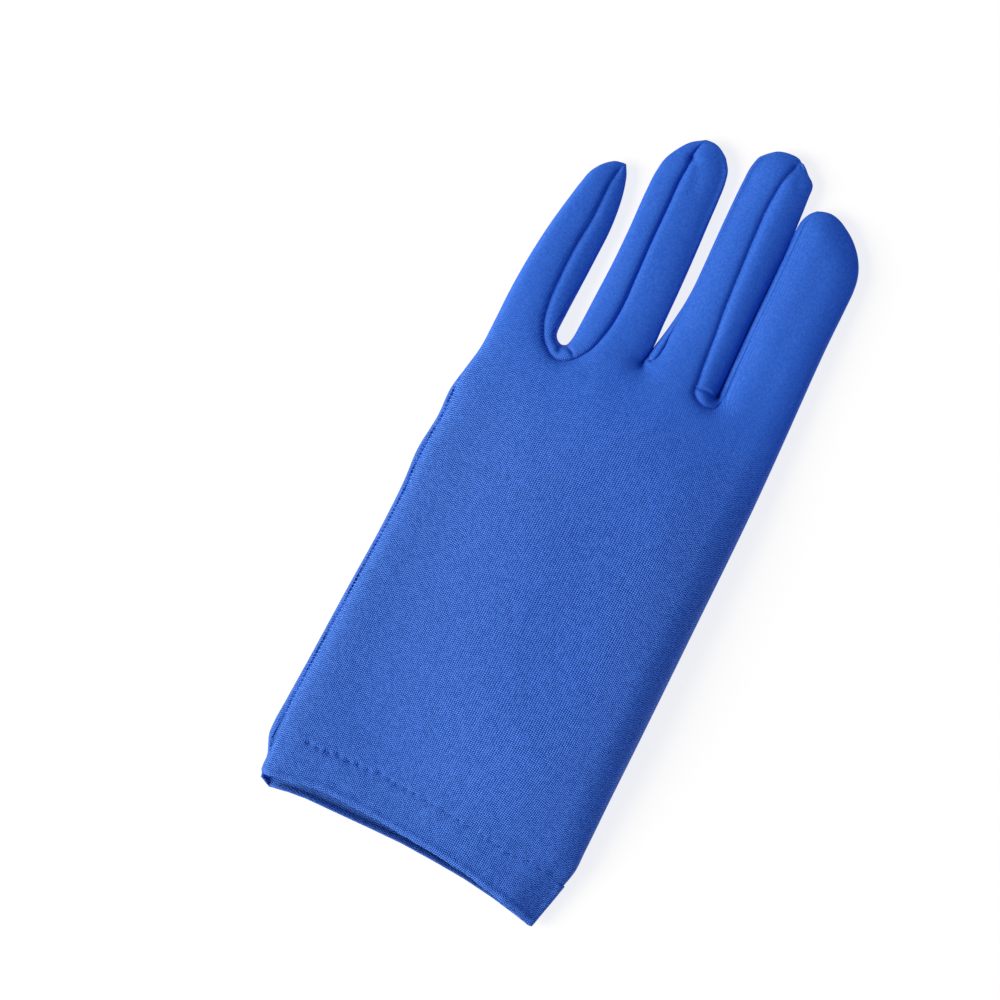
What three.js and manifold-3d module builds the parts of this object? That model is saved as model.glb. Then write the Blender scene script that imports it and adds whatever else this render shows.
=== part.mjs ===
// Wrist length dress glove of knitted stretch cloth, for the left hand, lying flat with its back up.
// Millimetres. X runs across the hand to the index side, Y from the hem to the fingertips, Z up.
// The thumb is folded flat beneath the palm, and the palm is lifted over it.

import * as THREE from "three";
import { mergeVertices } from "three/addons/utils/BufferGeometryUtils.js";
import Module from "manifold-3d";

const wasm = await Module();
wasm.setup();

// Cloth
const clothWall = 1;
const hemWall = 2;
const hemDepth = 11.5;
const seamGap = 0.3;

// Lengths, the hand from its lowest corner to the crotch beside the little finger, the fingers from there
const handLength = 149.2;
const littleLength = 53.3;
const ringLength = 69.9;
const middleLength = 77;
const indexLength = 67.2;

// Widths at the finger roots, which add up to the width of the hand there
const littleWidth = 17.4;
const ringWidth = 21;
const middleWidth = 21.3;
const indexWidth = 21.8;
const littleRingGap = 4.7;
const ringMiddleGap = 0.9;
const middleIndexGap = 0.9;

// Heights of the crotches over the lowest one
const littleRingRise = 2;
const ringMiddleRise = 6;
const middleIndexRise = 6.4;
const indexSideRise = 1;

// Thickness of the lying glove, and how its edges round off
const gloveThickness = 8.4;
const edgeHeight = 3;
const edgeRound = 9.5;

// Thumb, folded beneath the palm, leaning from its root to the middle of the hand
const thumbLength = 72;
const thumbWidth = 22;
const thumbThickness = 6.5;
const thumbLean = 15;
const thumbRootAcross = 22;
const thumbRootAlong = 62;
const thumbHoleLength = 26;
const thumbHoleWidth = 13;
const thumbRoofMargin = 3;
const palmSlope = 11;
const backSlope = 34;

// How far the seam runs below a crotch, and the height at which the back's seams pass to the palm's
const webDepth = 4.5;
const seamChange = edgeHeight + 0.4;

// Mesh fineness
const fingerColumns = 7;
const handRows = 14;
const lipSteps = 4;
const thumbSides = 24;

const handWidth =
  littleWidth + ringWidth + middleWidth + indexWidth + littleRingGap + ringMiddleGap + middleIndexGap;
const handHalf = handWidth / 2;

// Outline of the hand. Columns: share of the hand length, bulge of the little finger side, bulge of the
// index side, both as shares of the hand width.
const handOutline = [
  [0, -0.004, -0.01],
  [0.034, 0.01, 0.002],
  [0.07, 0.018, 0.014],
  [0.105, 0.038, 0.03],
  [0.135, 0.039, 0.033],
  [0.27, 0.033, 0.031],
  [0.4, 0.027, 0.028],
  [0.54, 0.02, 0.024],
  [0.63, 0.02, 0.021],
  [0.7, 0.03, 0.019],
  [0.78, 0.02, 0.017],
  [0.83, 0.025, 0.015],
  [0.87, 0.015, 0.012],
  [0.94, -0.001, 0.007],
  [1, 0, 0],
];

// Edge of the hem. Columns: share across from the little finger side, height of the palm's edge, height of
// the back's edge, both as shares of the hem depth.
const hemEdge = [
  [0, 0.25, 0.25],
  [0.04, 0.07, 0.37],
  [0.1, 0.18, 0.43],
  [0.28, 0.28, 0.61],
  [0.5, 0.34, 0.54],
  [0.74, 0.27, 0.41],
  [0.85, 0.17, 0.24],
  [0.96, 0.05, 0.06],
  [1, 0, 0],
];

// Outlines of the fingers above their roots. Columns: left edge's share of the length, its inset, right
// edge's share of the length, its inset. Insets are shares of the finger's width, from its root edges.
const fingers = [
  {
    name: "little",
    length: littleLength,
    width: littleWidth,
    outline: [
      [0.18, 0.01, 0.18, 0],
      [0.35, 0.03, 0.35, -0.01],
      [0.52, 0.09, 0.52, -0.01],
      [0.68, 0.16, 0.68, 0],
      [0.8, 0.23, 0.8, 0.04],
      [0.88, 0.29, 0.89, 0.08],
      [0.94, 0.39, 0.95, 0.15],
      [0.98, 0.53, 0.985, 0.21],
      [1, 0.64, 1, 0.25],
    ],
  },
  {
    name: "ring",
    length: ringLength,
    width: ringWidth,
    outline: [
      [0.2, 0, 0.22, 0],
      [0.37, 0.01, 0.37, 0.02],
      [0.51, 0, 0.51, 0.04],
      [0.655, -0.03, 0.655, 0.075],
      [0.78, -0.04, 0.78, 0.105],
      [0.86, 0, 0.86, 0.135],
      [0.92, 0.1, 0.92, 0.18],
      [0.96, 0.2, 0.96, 0.26],
      [0.985, 0.31, 0.985, 0.365],
      [1, 0.41, 1, 0.46],
    ],
  },
  {
    name: "middle",
    length: middleLength,
    width: middleWidth,
    outline: [
      [0.21, 0.02, 0.21, 0],
      [0.33, 0.07, 0.33, 0.02],
      [0.45, 0.08, 0.45, 0.042],
      [0.57, 0.055, 0.57, 0.047],
      [0.69, 0.037, 0.68, 0.055],
      [0.8, 0.027, 0.79, 0.07],
      [0.89, 0.023, 0.87, 0.105],
      [0.945, 0.08, 0.925, 0.125],
      [0.97, 0.18, 0.945, 0.19],
      [0.988, 0.27, 0.965, 0.28],
      [1, 0.41, 0.985, 0.38],
    ],
  },
  {
    name: "index",
    length: indexLength,
    width: indexWidth,
    outline: [
      [0.235, 0, 0.2, 0.02],
      [0.38, -0.027, 0.36, 0.045],
      [0.53, -0.046, 0.52, 0.065],
      [0.68, -0.05, 0.67, 0.075],
      [0.8, -0.06, 0.77, 0.085],
      [0.87, -0.073, 0.83, 0.13],
      [0.92, -0.078, 0.88, 0.215],
      [0.95, -0.06, 0.92, 0.31],
      [0.975, 0.005, 0.955, 0.44],
      [0.99, 0.08, 0.98, 0.57],
      [1, 0.2, 0.995, 0.68],
    ],
  },
];

// Crotches from the little finger to the index, with the seams that run up from each on the back and on
// the palm. Columns of a seam: share of the finger's length, inset from the root edge as a share of its width.
const crotches = [
  {
    name: "fourchette_little_ring",
    gap: littleRingGap,
    rise: littleRingRise,
    backLeft: [[0.1, 0.31], [0.3, 0.37], [0.5, 0.37], [0.75, 0.34], [0.93, 0.33], [1, 0.27]],
    backRight: [[0.07, 0.32], [0.2, 0.4], [0.45, 0.37], [0.75, 0.32], [0.9, 0.33], [1, 0.4]],
    palmLeft: [[0.1, 0.28], [0.5, 0.32], [0.93, 0.33], [1, 0.27]],
    palmRight: [[0.07, 0.28], [0.5, 0.3], [0.9, 0.3], [1, 0.4]],
  },
  {
    name: "fourchette_ring_middle",
    gap: ringMiddleGap,
    rise: ringMiddleRise,
    backLeft: [[0.12, 0.12], [0.5, 0.16], [0.9, 0.26], [1, 0.4]],
    backRight: [[0.12, 0.12], [0.45, 0.2], [0.9, 0.14], [1, 0.3]],
    palmLeft: [[0.12, 0.28], [0.5, 0.34], [0.9, 0.36], [1, 0.46]],
    palmRight: [[0.12, 0.28], [0.45, 0.34], [0.9, 0.3], [1, 0.4]],
  },
  {
    name: "fourchette_middle_index",
    gap: middleIndexGap,
    rise: middleIndexRise,
    backLeft: [[0.09, 0.28], [0.2, 0.35], [0.45, 0.45], [0.7, 0.52], [0.83, 0.53], [1, 0.42]],
    backRight: [[0.1, 0.12], [0.5, 0.07], [0.9, 0.06], [1, 0.16]],
    palmLeft: [[0.09, 0.28], [0.5, 0.36], [0.83, 0.38], [1, 0.42]],
    palmRight: [[0.1, 0.28], [0.5, 0.3], [0.9, 0.26], [1, 0.2]],
  },
];

function mix(a, b, t) {
  return a + (b - a) * t;
}

function smooth(t) {
  const c = Math.min(1, Math.max(0, t));
  return c * c * (3 - 2 * c);
}

// Value of one column of a table at a share, straight between its rows.
function tableValue(table, share, column) {
  if (share <= table[0][0]) return table[0][column];
  for (let i = 1; i < table.length; i++) {
    const [low, high] = [table[i - 1], table[i]];
    if (share <= high[0]) return mix(low[column], high[column], (share - low[0]) / (high[0] - low[0]));
  }
  return table[table.length - 1][column];
}

// Root edges of the fingers, side by side across the hand
let reach = -handHalf;
fingers.forEach((finger, i) => {
  finger.left = reach;
  finger.right = reach + finger.width;
  reach = finger.right + (i < crotches.length ? crotches[i].gap : 0);
});

// Columns of the surface: across each finger, with more of them near its edges, and over each gap.
const columns = [];
fingers.forEach((finger, i) => {
  const leftY = handLength + (i ? crotches[i - 1].rise : 0);
  const rightY = handLength + (i < crotches.length ? crotches[i].rise : indexSideRise);
  finger.firstColumn = columns.length;
  for (let k = 0; k <= fingerColumns; k++) {
    const even = k / fingerColumns;
    const share = mix((1 - Math.cos(Math.PI * even)) / 2, even, 0.25);
    columns.push({ x: mix(finger.left, finger.right, share), y: mix(leftY, rightY, share), share });
  }
  if (i === 0) {
    columns.push({ x: finger.right + littleRingGap / 2, y: handLength, share: 0 });
  }
});
const lastColumn = columns.length - 1;

function handEdge(y, side) {
  return handHalf + handWidth * tableValue(handOutline, y / handLength, side);
}

// A point of the hand at a column and a height.
function handPoint(column, y) {
  const across = (column.x + handHalf) / handWidth;
  return [mix(-handEdge(y, 1), handEdge(y, 2), across), y];
}

// Rows of the hand from the hem to the finger roots, as distances over the hem's edge.
const rowHeights = [hemWall / 2, hemDepth / 2, hemDepth, hemDepth + clothWall / 2];
for (let i = 1; i <= handRows; i++) rowHeights.push(mix(hemDepth + clothWall, handLength, i / handRows));

// sheet is 1 for the palm and 2 for the back, the column of hemEdge that it takes.
function handGrid(sheet) {
  return rowHeights.map((height) =>
    columns.map((column) => {
      const across = (column.x + handHalf) / handWidth;
      const edge = hemDepth * tableValue(hemEdge, across, sheet);
      const shift = mix(edge, column.y - handLength, smooth((height - hemDepth) / (handLength - hemDepth)));
      return handPoint(column, height + shift);
    }),
  );
}

function fingerGrid(finger) {
  const columnsHere = columns.slice(finger.firstColumn, finger.firstColumn + fingerColumns + 1);
  const rows = finger.outline.map(([leftAlong, leftInset, rightAlong, rightInset]) =>
    columnsHere.map(({ share }) => [
      mix(finger.left + leftInset * finger.width, finger.right - rightInset * finger.width, share),
      handLength + mix(leftAlong, rightAlong, share) * finger.length,
    ]),
  );
  return [columnsHere.map((column) => handPoint(column, column.y)), ...rows];
}

const grids = { palm: handGrid(1), back: handGrid(2), fingers: fingers.map(fingerGrid) };

// The outline on the table, from the hem up the little finger side, round the fingers and down again.
const outline = [...grids.palm.slice(0, -1).map((row) => row[0])];
grids.fingers.forEach((rows, i) => {
  outline.push(...rows.map((row) => row[0]));
  outline.push(...rows[rows.length - 1].slice(1, -1));
  outline.push(...rows.map((row) => row[row.length - 1]).reverse());
  if (i === 0) outline.push([columns[fingerColumns + 1].x, handLength]);
});
outline.push(...grids.palm.slice(0, -1).map((row) => row[lastColumn]).reverse());

function distanceToSegment([x, y], [ax, ay], [bx, by]) {
  const [dx, dy] = [bx - ax, by - ay];
  const t = Math.min(1, Math.max(0, ((x - ax) * dx + (y - ay) * dy) / (dx * dx + dy * dy || 1)));
  return Math.hypot(x - ax - t * dx, y - ay - t * dy);
}

function distanceToOutline(point) {
  let nearest = Infinity;
  for (let i = 1; i < outline.length; i++) {
    nearest = Math.min(nearest, distanceToSegment(point, outline[i - 1], outline[i]));
  }
  return nearest;
}

// The thumb's middle line, between the centres of its round ends
const lean = THREE.MathUtils.degToRad(thumbLean);
const thumbRoot = [thumbRootAcross, thumbRootAlong];
const thumbSpan = thumbLength - thumbWidth;
const thumbTip = [
  thumbRoot[0] - thumbSpan * Math.sin(lean),
  thumbRoot[1] + thumbSpan * Math.cos(lean),
];

function beyondThumb(point) {
  return distanceToSegment(point, thumbRoot, thumbTip) - thumbWidth / 2;
}

// Height of the cloth at a point, for its palm and its back.
function heights(point) {
  const inward = Math.min(1, distanceToOutline(point) / edgeRound);
  const roundness = Math.sqrt(1 - (1 - inward) ** 2);
  const away = beyondThumb(point) - thumbRoofMargin;
  const lift = thumbThickness + seamGap;
  const palmLift = lift * smooth(1 - away / palmSlope) * smooth(2 * roundness);
  const backLift = (lift - clothWall) * smooth(1 - away / backSlope) * roundness;
  return {
    palm: edgeHeight * (1 - Math.min(1, 1.35 * roundness)) + palmLift,
    back: edgeHeight + (gloveThickness - edgeHeight) * roundness + backLift,
    onEdge: roundness < 1e-3,
  };
}

// Vertices and faces of the bag's outer surface. A vertex on the outline belongs to both sheets.
const vertices = [];
const faces = [];
const edgeVertices = new Map();

function addVertex(point, sheet) {
  const { palm, back, onEdge } = heights(point);
  if (!onEdge) return vertices.push(new THREE.Vector3(...point, sheet === "back" ? back : palm)) - 1;
  const key = point.map((v) => v.toFixed(5)).join(" ");
  if (!edgeVertices.has(key)) edgeVertices.set(key, vertices.push(new THREE.Vector3(...point, edgeHeight)) - 1);
  return edgeVertices.get(key);
}

function addQuads(rows, sheet) {
  for (let r = 1; r < rows.length; r++) {
    for (let c = 1; c < rows[r].length; c++) {
      const [a, b] = [rows[r - 1][c - 1], rows[r - 1][c]];
      const [d, e] = [rows[r][c - 1], rows[r][c]];
      if (sheet === "back") faces.push([a, b, e], [a, e, d]);
      else faces.push([a, e, b], [a, d, e]);
    }
  }
}

const firstRows = {};
for (const sheet of ["palm", "back"]) {
  const hand = grids[sheet].map((row) => row.map((point) => addVertex(point, sheet)));
  firstRows[sheet] = hand[0];
  addQuads(hand, sheet);
  grids.fingers.forEach((rows, i) => {
    const first = fingers[i].firstColumn;
    const root = hand[hand.length - 1].slice(first, first + fingerColumns + 1);
    addQuads([root, ...rows.slice(1).map((row) => row.map((point) => addVertex(point, sheet)))], sheet);
  });
}

const normals = vertices.map(() => new THREE.Vector3());
for (const [a, b, c] of faces) {
  const ab = vertices[b].clone().sub(vertices[a]);
  const ac = vertices[c].clone().sub(vertices[a]);
  const normal = ab.cross(ac);
  for (const i of [a, b, c]) normals[i].add(normal);
}
normals.forEach((normal) => normal.normalize());

// The inner surface lies a wall inside the outer one, and two walls inside it behind the hem.
const outerCount = vertices.length;
const outerFaces = faces.slice();
for (let i = 0; i < outerCount; i++) {
  const behindHem = vertices[i].y < hemDepth + hemWall;
  const depth = behindHem && hemRow(i) ? hemWall : clothWall;
  vertices.push(vertices[i].clone().addScaledVector(normals[i], -depth));
}
for (const [a, b, c] of outerFaces) faces.push([a + outerCount, c + outerCount, b + outerCount]);

// Whether a vertex is in the rows that the turned-in hem backs.
function hemRow(i) {
  const { x, y } = vertices[i];
  const across = Math.min(1, Math.max(0, (x + handEdge(y, 1)) / (handEdge(y, 1) + handEdge(y, 2))));
  const sheet = vertices[i].z > edgeHeight + 0.01 ? 2 : 1;
  return y - hemDepth * tableValue(hemEdge, across, sheet) < hemDepth + clothWall / 4;
}

// The hem's folded edge, half round from the outer surface to the inner one.
const hemLoop = [...firstRows.back, ...firstRows.palm.slice(1, -1).reverse()];
let lastLoop = hemLoop;
for (let k = 1; k <= lipSteps; k++) {
  const angle = (Math.PI * k) / lipSteps;
  const loop =
    k === lipSteps
      ? hemLoop.map((i) => i + outerCount)
      : hemLoop.map((i) => {
          const p = vertices[i].clone().addScaledVector(normals[i], (-hemWall / 2) * (1 - Math.cos(angle)));
          p.y -= (hemWall / 2) * Math.sin(angle);
          return vertices.push(p) - 1;
        });
  for (let j = 0; j < loop.length; j++) {
    const n = (j + 1) % loop.length;
    faces.push([lastLoop[j], loop[n], lastLoop[n]], [lastLoop[j], loop[j], loop[n]]);
  }
  lastLoop = loop;
}

function solidFrom(positions, triangles) {
  return new wasm.Manifold(
    new wasm.Mesh({
      numProp: 3,
      vertProperties: new Float32Array(positions),
      triVerts: new Uint32Array(triangles),
    }),
  );
}

function solidOfGeometry(geometry) {
  geometry.deleteAttribute("normal");
  geometry.deleteAttribute("uv");
  const merged = mergeVertices(geometry, 1e-4);
  return solidFrom(merged.attributes.position.array, merged.index.array);
}

const bag = solidFrom(vertices.flatMap((v) => [v.x, v.y, v.z]), faces.flat());

// An upright prism over a closed outline, between two heights.
function prism(points, low, high) {
  const shape = new THREE.Shape(points.map(([x, y]) => new THREE.Vector2(x, y)));
  const geometry = new THREE.ExtrudeGeometry(shape, { depth: high - low, bevelEnabled: false, steps: 1 });
  geometry.translate(0, 0, low);
  return solidOfGeometry(geometry);
}

const farAbove = 4 * gloveThickness;
const farBeyond = handLength + 1.2 * middleLength;

// The part of the cloth between the two seams of a crotch, grown by a margin.
function crotchOutline(i, leftSeam, rightSeam, margin) {
  const [left, right] = [fingers[i], fingers[i + 1]];
  const leftLine = leftSeam.map(([along, inset]) => [
    left.right - inset * left.width - margin,
    handLength + along * left.length,
  ]);
  const rightLine = rightSeam.map(([along, inset]) => [
    right.left + inset * right.width + margin,
    handLength + along * right.length,
  ]);
  const lowest = (i ? handLength + crotches[i].rise : handLength) - webDepth - margin;
  const bend = [];
  const bendSteps = 8;
  for (let k = 1; k < bendSteps; k++) {
    const angle = (Math.PI * k) / bendSteps;
    const across = (1 - Math.cos(angle)) / 2;
    const start = mix(leftLine[0][1], rightLine[0][1], across);
    bend.push([mix(leftLine[0][0], rightLine[0][0], across), mix(start, lowest, Math.sin(angle))]);
  }
  const leftTop = [leftLine[leftLine.length - 1][0], farBeyond];
  const rightTop = [rightLine[rightLine.length - 1][0], farBeyond];
  return [leftTop, ...leftLine.reverse(), ...bend, ...rightLine, rightTop];
}

function crotchCutter(i, margin) {
  const { backLeft, backRight, palmLeft, palmRight } = crotches[i];
  const upper = prism(crotchOutline(i, backLeft, backRight, margin), seamChange, farAbove);
  const lower = prism(crotchOutline(i, palmLeft, palmRight, margin), -farAbove, seamChange);
  return upper.add(lower);
}

// Thumb: a flat bag with round ends along its middle line.
function thumbBag(inset) {
  const half = thumbWidth / 2;
  const ring = (centre, width, height) => {
    const points = [];
    for (let k = 0; k < thumbSides; k++) {
      const angle = (2 * Math.PI * k) / thumbSides;
      const bend = (v) => Math.sign(v) * Math.abs(v) ** 0.6;
      const side = bend(Math.cos(angle)) * width;
      const rise = bend(Math.sin(angle)) * height;
      points.push([
        centre[0] + side * Math.cos(lean),
        centre[1] + side * Math.sin(lean),
        thumbThickness / 2 + rise,
      ]);
    }
    return points;
  };
  const stations = [];
  const endSteps = 4;
  for (let k = 0; k <= endSteps; k++) stations.push([0, -Math.cos((Math.PI * k) / endSteps / 2)]);
  stations.push([0.5, 0]);
  for (let k = 0; k <= endSteps; k++) stations.push([1, Math.sin((Math.PI * k) / endSteps / 2)]);
  const radius = half - inset;
  const positions = [];
  const triangles = [];
  const rows = stations.map(([along, end]) => {
    const offset = end * radius;
    const closing = Math.sqrt(Math.max(0, 1 - end * end));
    const centre = [
      mix(thumbRoot[0], thumbTip[0], along) - offset * Math.sin(lean),
      mix(thumbRoot[1], thumbTip[1], along) + offset * Math.cos(lean),
    ];
    if (closing < 1e-6) return [positions.push([...centre, thumbThickness / 2]) - 1];
    const points = ring(centre, radius * closing, (thumbThickness / 2 - inset) * closing ** 0.6);
    return points.map((p) => positions.push(p) - 1);
  });
  for (let r = 1; r < rows.length; r++) {
    const [low, high] = [rows[r - 1], rows[r]];
    for (let k = 0; k < thumbSides; k++) {
      const n = (k + 1) % thumbSides;
      if (low.length === 1) triangles.push([low[0], high[k], high[n]]);
      else if (high.length === 1) triangles.push([high[0], low[n], low[k]]);
      else triangles.push([low[k], high[n], low[n]], [low[k], high[k], high[n]]);
    }
  }
  return solidFrom(positions.flat(), triangles.flat());
}

// The oval where the thumb opens into the palm.
function thumbHole(low, high) {
  const points = [];
  const holeSides = 20;
  for (let k = 0; k < holeSides; k++) {
    const angle = (2 * Math.PI * k) / holeSides;
    const along = (Math.sin(angle) * thumbHoleLength) / 2;
    const side = (Math.cos(angle) * thumbHoleWidth) / 2;
    const centreAlong = (thumbHoleLength - thumbWidth) / 2 + clothWall;
    points.push([
      thumbRoot[0] + side * Math.cos(lean) - (along + centreAlong) * Math.sin(lean),
      thumbRoot[1] + side * Math.sin(lean) + (along + centreAlong) * Math.cos(lean),
    ]);
  }
  return prism(points, low, high);
}

const holeLow = thumbThickness / 2;
const holeHigh = thumbThickness + seamGap + 2 * clothWall;

const solids = {
  trank: bag.subtract(thumbHole(holeLow, holeHigh)),
};
crotches.forEach(({ name }, i) => {
  solids[name] = bag.intersect(crotchCutter(i, 0));
  solids.trank = solids.trank.subtract(crotchCutter(i, seamGap));
});
solids.thumb = thumbBag(0).subtract(thumbBag(clothWall)).subtract(thumbHole(holeLow, holeHigh));

const colours = {
  trank: "#3a5fc8",
  fourchette_little_ring: "#3153b4",
  fourchette_ring_middle: "#3153b4",
  fourchette_middle_index: "#3153b4",
  thumb: "#3659c0",
};

// The middle of the glove's outline goes to the origin.
const outlineBox = new THREE.Box2().setFromPoints(vertices.map((v) => new THREE.Vector2(v.x, v.y)));
const middle = outlineBox.getCenter(new THREE.Vector2());

const group = new THREE.Group();
group.name = "dress_glove";
for (const [name, solid] of Object.entries(solids)) {
  const mesh = solid.getMesh();
  const geometry = new THREE.BufferGeometry();
  geometry.setAttribute("position", new THREE.BufferAttribute(mesh.vertProperties, 3));
  geometry.setIndex(new THREE.BufferAttribute(mesh.triVerts, 1));
  geometry.translate(-middle.x, -middle.y, 0);
  geometry.computeVertexNormals();
  const material = new THREE.MeshStandardMaterial({ color: colours[name], roughness: 0.8 });
  const object = new THREE.Mesh(geometry, material);
  object.name = name;
  group.add(object);
}

export default group;
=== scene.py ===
# Wrist length dress glove of royal blue stretch knit, left hand, lying flat with its back up.
import math

import bpy
import numpy as np
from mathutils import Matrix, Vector
from mathutils.geometry import delaunay_2d_cdt


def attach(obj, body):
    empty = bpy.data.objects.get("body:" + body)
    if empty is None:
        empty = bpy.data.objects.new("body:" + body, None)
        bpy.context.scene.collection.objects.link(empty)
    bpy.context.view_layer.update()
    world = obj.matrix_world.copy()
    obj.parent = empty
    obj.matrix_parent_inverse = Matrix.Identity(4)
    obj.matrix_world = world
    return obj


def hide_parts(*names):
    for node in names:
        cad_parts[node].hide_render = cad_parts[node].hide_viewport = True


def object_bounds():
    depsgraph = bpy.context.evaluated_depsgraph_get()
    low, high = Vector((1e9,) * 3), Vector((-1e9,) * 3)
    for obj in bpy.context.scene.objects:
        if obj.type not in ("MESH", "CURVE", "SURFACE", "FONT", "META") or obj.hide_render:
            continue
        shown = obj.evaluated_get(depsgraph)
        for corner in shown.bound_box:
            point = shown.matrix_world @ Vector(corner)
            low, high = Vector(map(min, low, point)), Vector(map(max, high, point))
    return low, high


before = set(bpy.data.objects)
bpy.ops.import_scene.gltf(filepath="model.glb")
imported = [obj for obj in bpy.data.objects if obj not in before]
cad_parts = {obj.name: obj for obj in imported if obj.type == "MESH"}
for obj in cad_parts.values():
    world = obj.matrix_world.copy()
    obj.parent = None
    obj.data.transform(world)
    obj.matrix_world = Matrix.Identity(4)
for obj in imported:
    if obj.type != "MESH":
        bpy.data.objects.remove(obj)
cadBox = [list(corner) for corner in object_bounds()]
print("frame loaded")

mm = 0.001
rng = np.random.default_rng(7)

# Places are in millimetres on the glove: x from its middle line towards the index side,
# y from the lowest corner of the hem towards the fingertips, z up from the table.
glove = {
    "middleX": 0.4,  # how far the middle line lies from the middle of the outline
    "hemY": cadBox[0][1] / mm,
    "cloth": 0.6,
    "step": 1.15,  # spacing of points along outlines and seams
    "finer": 3.2,  # how much closer they are round the crotches
    "inside": 1.55,  # spacing of points inside a sheet
    "rows": (0.14, 0.38, 0.75, 1.25, 1.95),  # how far in from a rim its rows of points lie
    "ridgeRows": (0, 0.12, -0.12, 0.3, -0.3, 0.6, -0.6),  # and from the side seam
    "merge": 0.01,
    "edgeHeight": 3.0,
    "edgeRound": 9.5,  # how far in from the outline the cloth over the thumb keeps rising
    "palmRound": 1.35,  # how much faster the palm reaches the table than that
    "fold": 2.0,  # how far the back rises at its folded edges
    "foldRound": 1.9,
    "arch": (1.5, 2.7),  # the gentle rise of fingers and hand, on the little finger side and the index side
    "archRound": 8.8,
    "archTurn": (-15, 25),  # x between which one rise turns into the other
    "handArch": 0.3,  # share of the index side's extra rise that the hand has
    "knuckles": (140, 165),  # y between which the hand turns into the fingers
    "handRise": 0.5,  # how much higher the hand lies than the fingers
    "handTop": (168, 146),
    "slope": 0.3,  # how far the hand falls towards the index side, over slopeLength
    "slopeLength": 40.0,
    "tips": 2.0,  # how much lower the fingers are at their tips
    "tipsFall": (176, 222),
    "lean": 0.17,  # how steeply the little finger leans to the right about leanX
    "leanX": -35.5,
    "leanFrom": (148, 173),
    "leanEnd": -24,
}

# Little finger side, from the hem to the tip of the little finger
littleSide = [
    (-44.7, 4.3), (-44.9, 6), (-45.1, 9), (-46.2, 11.6), (-47.3, 14.4), (-47.6, 18), (-47.4, 25),
    (-47, 38), (-46.5, 60), (-45.9, 82), (-46.1, 95), (-46.8, 104), (-46, 116), (-46.3, 124),
    (-45.2, 131), (-44.1, 138), (-44, 146), (-44.1, 156), (-43.6, 168), (-42.6, 178),
    (-41.2, 187), (-40.3, 192), (-38.9, 197), (-36.8, 200), (-34.6, 201.8), (-32, 202.5),
]
ringTip = [(-13.4, 219), (-11.8, 219.1), (-9.8, 218.6), (-7.8, 217.4)]
middleTip = [(3.2, 223.7), (4.8, 225), (7.2, 225.9), (9.4, 226.2), (11.2, 226.1), (11.8, 225.85)]
indexSide = [
    (22.9, 215.4), (24.4, 216), (26.4, 216.4), (29, 216), (32.4, 214.4), (35.4, 212.4), (38, 209.8),
    (40, 206.9), (41.3, 203.8), (42, 200), (42.2, 195), (42.4, 184), (42.8, 174), (43.3, 165),
    (43.9, 154), (44.4, 144), (44.9, 132), (45.3, 116), (45.6, 98), (46, 76), (46.3, 58),
    (46.5, 42), (46.8, 26), (46.8, 18.4), (46, 14.8), (44.95, 9.6), (43.85, 4.8),
    (42.9, 0.4), (42.75, -0.3),
]

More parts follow.
